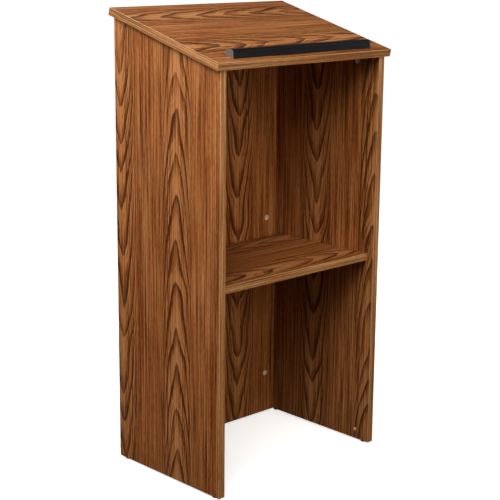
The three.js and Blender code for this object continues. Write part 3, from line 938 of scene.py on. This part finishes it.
def screw_bore():
    bore, sink = SCREW_RADIUS + SCREW_ROOM, SCREW_HEAD_RADIUS + 2 * SCREW_ROOM
    throat = SCREW_SUNK + SCREW_HEAD_DEPTH + SCREW_ROOM
    end = STOP_SCREW_LENGTH + 1 * MM
    return lathe([(0, -MM), (sink, -MM), (sink, 0), (bore, throat), (bore, end), (0, end)], 32)


def dowel_solid():
    half, ease = DOWEL_LENGTH / 2, 1 * MM
    core = DOWEL_RADIUS - 0.25 * MM
    profile = [(0, -half), (core - ease, -half), (core, -half + ease)]
    profile += [(core, half - ease), (core - ease, half), (0, half)]

    def flutes(angle, height):
        grown = min(1, (half - abs(height)) / ease)
        return 0.25 * MM * grown * abs(math.cos(DOWEL_FLUTES / 2 * angle))
    return lathe(profile, DOWEL_FLUTES * 6, flutes)


def glide_pad_profile():
    """A domed pad, flat where it meets the floor, with its upper edge eased."""
    dome, steps = 2 * MM, 8
    profile = [(0, 0)]
    for i in range(steps + 1):
        angle = math.pi / 2 * i / steps
        profile.append((GLIDE_RADIUS - dome * (1 - math.sin(angle)), dome * (1 - math.cos(angle))))
    ease = 0.25 * MM
    profile += [(GLIDE_RADIUS, GLIDE_HEIGHT - ease), (GLIDE_RADIUS - ease, GLIDE_HEIGHT)]
    return profile


def glide_solid():
    nail_top = GLIDE_HEIGHT + NAIL_LENGTH
    profile = glide_pad_profile()
    profile += [(NAIL_RADIUS, GLIDE_HEIGHT), (NAIL_RADIUS, nail_top - 2.5 * MM), (0, nail_top)]
    return lathe(profile, 48)


def plug_solid():
    """A snap-in cap: shallow dome on a ribbed stem."""
    dome = []
    steps, seat_height = 8, 0.05 * MM
    for i in range(steps + 1):
        angle = math.pi / 2 * i / steps
        height = seat_height + 0.25 * MM + (PLUG_HEAD - seat_height - 0.25 * MM) * math.sin(angle)
        dome.append((PLUG_RADIUS * math.cos(angle) if i < steps else 0, height))
    stem_end, rib = -PLUG_STEM_LENGTH, 0.35 * MM
    profile = [(0, stem_end), (PLUG_STEM_RADIUS - 2 * rib, stem_end)]
    ribs = 3
    for i in range(ribs):
        height = stem_end + (i + 0.6) * PLUG_STEM_LENGTH / (ribs + 0.6)
        profile += [(PLUG_STEM_RADIUS - rib, height), (PLUG_STEM_RADIUS, height + 0.8 * MM)]
        profile += [(PLUG_STEM_RADIUS - rib, height + 1 * MM)]
    profile += [(PLUG_STEM_RADIUS - rib, seat_height), (PLUG_RADIUS, seat_height)]
    return lathe(profile + dome, 48)


# ---- Boards ----

def upright_section(node):
    """The Y and Z outline of a slab that ends under the sloping top."""
    low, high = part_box(node)
    fall = (high.y - low.y) * math.tan(SLOPE)
    return [(low.y, low.z), (high.y, low.z), (high.y, high.z), (low.y, high.z - fall)]


def board(name, bm, cutters, materials, normal, faces_at):
    """A drilled board. Its two broad faces, at faces_at along normal, are laminated."""
    round_off(bm, BOARD_ARRIS, 2)
    obj = drilled(mesh_object(name, bm, materials), cutters)

    def is_core(centre, face_normal):
        at = centre.dot(normal)
        on_face = min(abs(at - face) for face in faces_at) < 0.2 * MM
        return not (on_face and abs(face_normal.dot(normal)) > 0.3)
    paint(obj, 1, is_core)
    return smooth(obj)


locks = lock_seats()


def belongs(place, kinds, side):
    """Whether a fitting is of one of these kinds, and on this side where one is given."""
    return place.startswith(kinds) and (side is None or f"_{side}" in place)


def bores_for(kind, side=None):
    """The cam and bolt bores in the boards that hold the drums of one kind of lock."""
    return [bore for place, lock in locks.items() if belongs(place, kind, side)
            for bore in host_bores(lock)]


def stud_bores(kinds, side=None):
    return [mate_bore(lock) for place, lock in locks.items() if belongs(place, kinds, side)]


DOWELS = [name.removeprefix("dowel_") for name in sorted(frame["nodes"])
          if name.startswith("dowel_")]


def dowel_seat(place):
    axis = SLOPE_UP if place.startswith("top") else X_AXIS
    across = Y_AXIS if axis is X_AXIS else X_AXIS
    return seat(middle(f"dowel_{place}"), axis, across)


def dowel_bores(kinds, side=None):
    half = DOWEL_LENGTH / 2 + DOWEL_END_ROOM
    return [moved(rod(DOWEL_BORE_RADIUS, -half, half, 32), dowel_seat(place))
            for place in DOWELS if belongs(place, kinds, side)]


def glide_seat(place):
    centre = middle(f"glide_{place}")
    return Matrix.Translation((centre.x, centre.y, 0))


def plug_seat(side):
    """Z out of the side panel's inner face, from the face."""
    low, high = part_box(f"hole_plug_{side}")
    face = high.x - PLUG_HEAD if side == "left" else low.x + PLUG_HEAD
    centre = (low + high) / 2
    return seat((face, centre.y, centre.z), X_AXIS * -SIDES[side], Y_AXIS)


def screw_seat(place):
    """Z up through the top board, from its underside."""
    inside = slope.inverted() @ middle(f"stop_screw_{place}")
    return slope @ Matrix.Translation((inside.x, inside.y, 0))


def plug_bore(side):
    hole = rod(PLUG_STEM_RADIUS + PLUG_ROOM, -PLUG_STEM_LENGTH - OVERRUN, OVERRUN)
    return moved(hole, plug_seat(side))


def nail_bore(place):
    start, end = GLIDE_HEIGHT - OVERRUN, GLIDE_HEIGHT + NAIL_LENGTH + OVERRUN
    return moved(rod(NAIL_RADIUS + NAIL_ROOM, start, end, 24), glide_seat(place))


def measured_from(start, cathedrals):
    """The same cathedrals, measured from the frame's origin."""
    return [(at + start, way) for at, way in cathedrals]


def front_edge():
    """Where the lectern's front edge is along Y, in millimetres."""
    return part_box("left_side_front_edge_band")[0].y / MM


def make_side_panel(side, core):
    node = f"{side}_side_panel"
    low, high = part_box(node)
    laminate = oak(f"oak_{side}_side", Z_AXIS, Y_AXIS, X_AXIS, middle(node).x / MM,
                   measured_from(front_edge(), SIDE_CATHEDRALS[side]),
                   SIDE_SEEDS[side], red=SIDE_RED[side])
    cutters = bores_for("top", side) + stud_bores(("audience", "shelf"), side)
    cutters += dowel_bores(("audience", "shelf", "top"), side)
    cutters.append(plug_bore(side))
    cutters += [nail_bore(f"{side}_{end}") for end in ENDS]
    slab = prism(upright_section(node), low.x, high.x)
    obj = board(node, slab, cutters, [laminate, core], X_AXIS, (low.x, high.x))
    stand_for(obj, node)


def make_audience_panel(core):
    low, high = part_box("audience_panel")
    cutters = bores_for("audience") + dowel_bores("audience")
    laminate = oak("oak_audience", Z_AXIS, X_AXIS, Y_AXIS, middle("audience_panel").y / MM,
                   AUDIENCE_CATHEDRALS, seed=83, red=-0.07)
    slab = prism(upright_section("audience_panel"), low.x, high.x)
    obj = board("audience", slab, cutters, [laminate, core], Y_AXIS, (low.y, high.y))
    stand_for(obj, "audience_panel")


def make_shelf(core):
    low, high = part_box("shelf")
    cutters = bores_for("shelf") + dowel_bores("shelf")
    laminate = oak("oak_shelf", X_AXIS, Y_AXIS, Z_AXIS, middle("shelf").z / MM,
                   measured_from(front_edge(), SHELF_CATHEDRALS), seed=29, red=-0.04)
    slab = prism(rectangle(low.y, high.y, low.z, high.z), low.x, high.x)
    obj = board("shelf_board", slab, cutters, [laminate, core], Z_AXIS, (low.z, high.z))
    stand_for(obj, "shelf")


def make_top_board(core):
    """The sloping top, made level and then turned into its place."""
    inside = slope.inverted()
    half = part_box("top_front_edge_band")[1].x - BAND
    cutters = [moved(cutter, inside) for cutter in stud_bores("top") + dowel_bores("top")]
    cutters += [moved(screw_bore(), inside @ screw_seat(place)) for place in SCREWS]
    start = slope.to_translation().dot(SLOPE_ALONG) / MM
    core_level = (slope.to_translation().dot(SLOPE_UP) + BOARD / 2) / MM
    laminate = oak("oak_top", X_AXIS, SLOPE_ALONG, SLOPE_UP, core_level,
                   measured_from(start, TOP_CATHEDRALS), seed=61, red=-0.09)
    slab = prism(rectangle(BAND, top_board_length() - BAND, 0, BOARD), -half, half)
    obj = board("top", slab, cutters, [laminate, core], Z_AXIS, (0, BOARD))
    obj.data.transform(slope)
    stand_for(obj, "top_board")


def make_boards(core):
    for side in SIDES:
        make_side_panel(side, core)
    make_audience_panel(core)
    make_shelf(core)
    make_top_board(core)


# ---- Edge bands ----

def band(node, bm, outward, material, highlight_paint):
    """A strip of edging whose long outer corners are scraped round, with a painted highlight on
    those rounded faces.
    """
    outermost = max(v.co.dot(outward) for v in bm.verts)
    longest = max(e.calc_length() for e in bm.edges)

    def is_corner(edge):
        at = [v.co.dot(outward) for v in edge.verts]
        return min(at) > outermost - 0.01 * MM and edge.calc_length() > longest * 0.9
    round_off(bm, BAND_ARRIS, 4, is_corner)
    obj = mesh_object(node, bm, [material, highlight_paint])
    # The rounded corner faces take the paler paint, a painted highlight.
    paint(obj, 1, lambda centre, normal: 0.15 < abs(normal.dot(outward)) < 0.95)
    return smooth(obj, 50)


def make_level_bands(upright_edging, cross_edging, highlight_paint):
    """The bands of the side panels' and the shelf's edges."""
    for side in SIDES:
        for end, outward in zip(ENDS, (-Y_AXIS, Y_AXIS)):
            node = f"{side}_side_{end}_edge_band"
            low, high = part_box(node)
            strip = prism(upright_section(node), low.x, high.x)
            stand_for(band(node, strip, outward, upright_edging, highlight_paint), node)
    node = "shelf_front_edge_band"
    low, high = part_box(node)
    strip = prism(rectangle(low.y, high.y, low.z, high.z), low.x, high.x)
    stand_for(band(node, strip, -Y_AXIS, cross_edging, highlight_paint), node)


def make_top_bands(cross_edging, slope_edging, highlight_paint):
    length, half = top_board_length(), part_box("top_front_edge_band")[1].x
    strips = {
        "front": (0, BAND, -half, half, -Y_AXIS, cross_edging),
        "rear": (length - BAND, length, -half, half, Y_AXIS, cross_edging),
        "left": (BAND, length - BAND, -half, -half + BAND, -X_AXIS, slope_edging),
        "right": (BAND, length - BAND, half - BAND, half, X_AXIS, slope_edging),
    }
    for edge, (y0, y1, x0, x1, outward, material) in strips.items():
        node = f"top_{edge}_edge_band"
        obj = band(node, prism(rectangle(y0, y1, 0, BOARD), x0, x1), outward, material, highlight_paint)
        obj.data.transform(slope)
        stand_for(obj, node)


def make_bands(highlight_paint):
    upright_edging = edging("edging_upright", Z_AXIS, X_AXIS, 5)
    cross_edging = edging("edging_crosswise", X_AXIS, Z_AXIS, 17)
    slope_edging = edging("edging_sloping", SLOPE_ALONG, SLOPE_UP, 23)
    make_level_bands(upright_edging, cross_edging, highlight_paint)
    make_top_bands(cross_edging, slope_edging, highlight_paint)


# ---- Book stop ----

def stop_section():
    """The stop's outline: a raked back, a sloping top, and a rounded front shoulder."""
    base, steps = BOARD + STOP_CLEAR, 12
    section = [
        (STOP_FRONT, base),
        (STOP_REAR, base),
        (STOP_TOP_REAR, base + STOP_REAR_HEIGHT),
        (STOP_TOP_FRONT, base + STOP_FRONT_HEIGHT),
    ]
    for i in range(1, steps + 1):
        turn = math.pi / 2 * i / steps
        section.append((
            STOP_TOP_FRONT - STOP_SHOULDER * math.sin(turn),
            base + STOP_FRONT_HEIGHT - STOP_SHOULDER * (1 - math.cos(turn)),
        ))
    return section


def make_book_stop(plastic, sawn_highlit_end, steel):
    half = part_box("book_stop")[1].x
    bm = round_off(prism(stop_section(), -half, half), STOP_ARRIS, 3)
    cutters = [moved(screw_bore(), slope.inverted() @ screw_seat(place)) for place in SCREWS]
    obj = drilled(mesh_object("stop", bm, [plastic, sawn_highlit_end]), cutters)
    # The ends take the mid grey: the sawn surface, with a painted highlight in it.
    paint(obj, 1, lambda centre, normal: abs(normal.x) > 0.9)
    obj.data.transform(slope)
    stand_for(smooth(obj), "book_stop")
    for place in SCREWS:
        screw = smooth(mesh_object("screw", screw_solid(), [steel]), 50)
        screw.data.transform(screw_seat(place))
        stand_for(screw, f"stop_screw_{place}")


def make_locks(zinc, steel):
    drum = drum_solid(zinc)
    for place, lock in locks.items():
        copy = drum.copy()
        copy.data = drum.data.copy()
        bpy.context.scene.collection.objects.link(copy)
        copy.data.transform(lock)
        stand_for(copy, f"cam_drum_{place}", body=f"cam_{place}")
        bolt = smooth(mesh_object("bolt", bolt_solid(), [steel]), 50)
        bolt.data.transform(lying(lock))
        stand_for(bolt, f"cam_bolt_{place}")
    bpy.data.objects.remove(drum)


def make_dowels(wood):
    for place in DOWELS:
        pin = smooth(mesh_object("pin", dowel_solid(), [wood]), 60)
        pin.data.transform(dowel_seat(place))
        stand_for(pin, f"dowel_{place}")


def make_glide(place, nylon, steel):
    pad = smooth(mesh_object("pad", glide_solid(), [nylon, steel]), 50)
    paint(pad, 1, lambda centre, normal: centre.xy.length < NAIL_RADIUS * 1.05
          and centre.z > GLIDE_HEIGHT)
    pad.data.transform(glide_seat(place))
    stand_for(pad, f"glide_{place}")


def make_plug(side, tan):
    cap = smooth(mesh_object("cap", plug_solid(), [tan]), 50)
    cap.data.transform(plug_seat(side))
    stand_for(cap, f"hole_plug_{side}")


def make_fittings(zinc, steel, wood, nylon, tan):
    make_locks(zinc, steel)
    make_dowels(wood)
    for side in SIDES:
        for end in ENDS:
            make_glide(f"{side}_{end}", nylon, steel)
        make_plug(side, tan)


# ---- Studio ----

def make_stage():
    """A pale floor that sweeps up into a backdrop. It throws no light back on the lectern."""
    s = Surface("studio_sweep")
    tooth = s.noise(s.point(*s.xyz()), 2, scale=0.05)
    away = s.times(s.length(), MM)
    # The sweep glows: painted light, dimmed to 0.65 within half a metre of the lectern's middle as
    # a painted shade round its foot, and full white from 3 m out.
    glow = s.ranged(s.step(away, 0.5, 3.0), 0.65, 1)
    s.finish(Base_Color=s.ramp(tooth, [(0.3, "#e6e6e6"), (0.7, "#ececec")]), Roughness=0.9)
    s.finish(Specular_IOR_Level=0.0, Emission_Color=(1, 1, 1, 1), Emission_Strength=glow)
    reach, bend, height, steps = 14.0, 5.0, 14.0, 24
    profile = [(0, 0), (reach - bend, 0)]
    for i in range(1, steps + 1):
        turn = math.pi / 2 * i / steps
        profile.append((reach - bend + bend * math.sin(turn), bend * (1 - math.cos(turn))))
    profile.append((reach, height))
    sweep = mesh_object("sweep", lathe(profile, 96), [s.material])
    sweep.data.shade_smooth()
    sweep.visible_diffuse = False
    sweep.visible_glossy = False
    sweep.visible_shadow = False


def soft_light(name, place, power, colour=(1, 1, 1)):
    """A square softbox aimed at the middle of the lectern."""
    data = bpy.data.lights.new(name, "AREA")
    data.shape = "SQUARE"
    data.size = LAMP_SIZE
    data.energy = power
    data.color = colour
    lamp = bpy.data.objects.new(name, data)
    bpy.context.scene.collection.objects.link(lamp)
    lamp.location = place
    lamp.rotation_euler = (AIM - place).to_track_quat("-Z", "Y").to_euler()


def studio_place(azimuth, elevation):
    """Where a lamp stands: azimuth turns from the speaker's side towards the left."""
    a, e = math.radians(azimuth), math.radians(elevation)
    level = Vector((-math.sin(a), -math.cos(a), 0)) * math.cos(e)
    return AIM + (level + Z_AXIS * math.sin(e)) * LAMP_DISTANCE


def make_lights():
    world = bpy.data.worlds.new("studio")
    world.use_nodes = True
    background = world.node_tree.nodes["Background"]
    background.inputs["Color"].default_value = (1, 1, 1, 1)
    background.inputs["Strength"].default_value = WORLD_STRENGTH
    bpy.context.scene.world = world
    soft_light("key", studio_place(60, 38), 46)
    soft_light("rear_left", studio_place(125, 38), 36)
    soft_light("front_low", studio_place(0, 12), 17, (1, 0.88, 0.68))
    soft_light("front_high", studio_place(0, 38), 13, (1, 0.95, 0.84))
    soft_light("right_fill", studio_place(-80, 15), 16)
    soft_light("rear_high", studio_place(180, 40), 24)
    bpy.context.scene.view_settings.view_transform = "Standard"


def make_camera():
    data = bpy.data.cameras.new("camera")
    data.lens = CAMERA_LENS
    data.sensor_width = 36
    camera = bpy.data.objects.new("camera", data)
    bpy.context.scene.collection.objects.link(camera)
    yaw = Matrix.Rotation(math.radians(CAMERA_YAW), 4, "Z")
    pitch = Matrix.Rotation(math.radians(90 + CAMERA_PITCH), 4, "X")
    roll = Matrix.Rotation(math.radians(CAMERA_ROLL), 4, "Z")
    camera.matrix_world = Matrix.Translation(CAMERA_PLACE) @ yaw @ pitch @ roll
    bpy.context.scene.camera = camera


make_camera()
make_stage()
make_lights()
# The paler paint for the bands' rounded corners is a painted highlight.
edging_highlight = painted_highlight_edging()
make_boards(chipboard())
make_bands(edging_highlight)
steel = metal("plated_steel", "#8a8c90", "#c6c8cc", 0.5, 0.3)
make_book_stop(black_plastic("stop_plastic", 1.5, 60), sawn_and_highlit_end(), steel)
make_fittings(
    metal("die_cast_zinc", "#d2c2ae", "#f6ead8", 0.35, 0.5, 0.25),
    steel,
    beech(),
    black_plastic("glide_nylon", 2.5, 1, "#3a3a3d", 0.28),
    tan_plastic(),
)
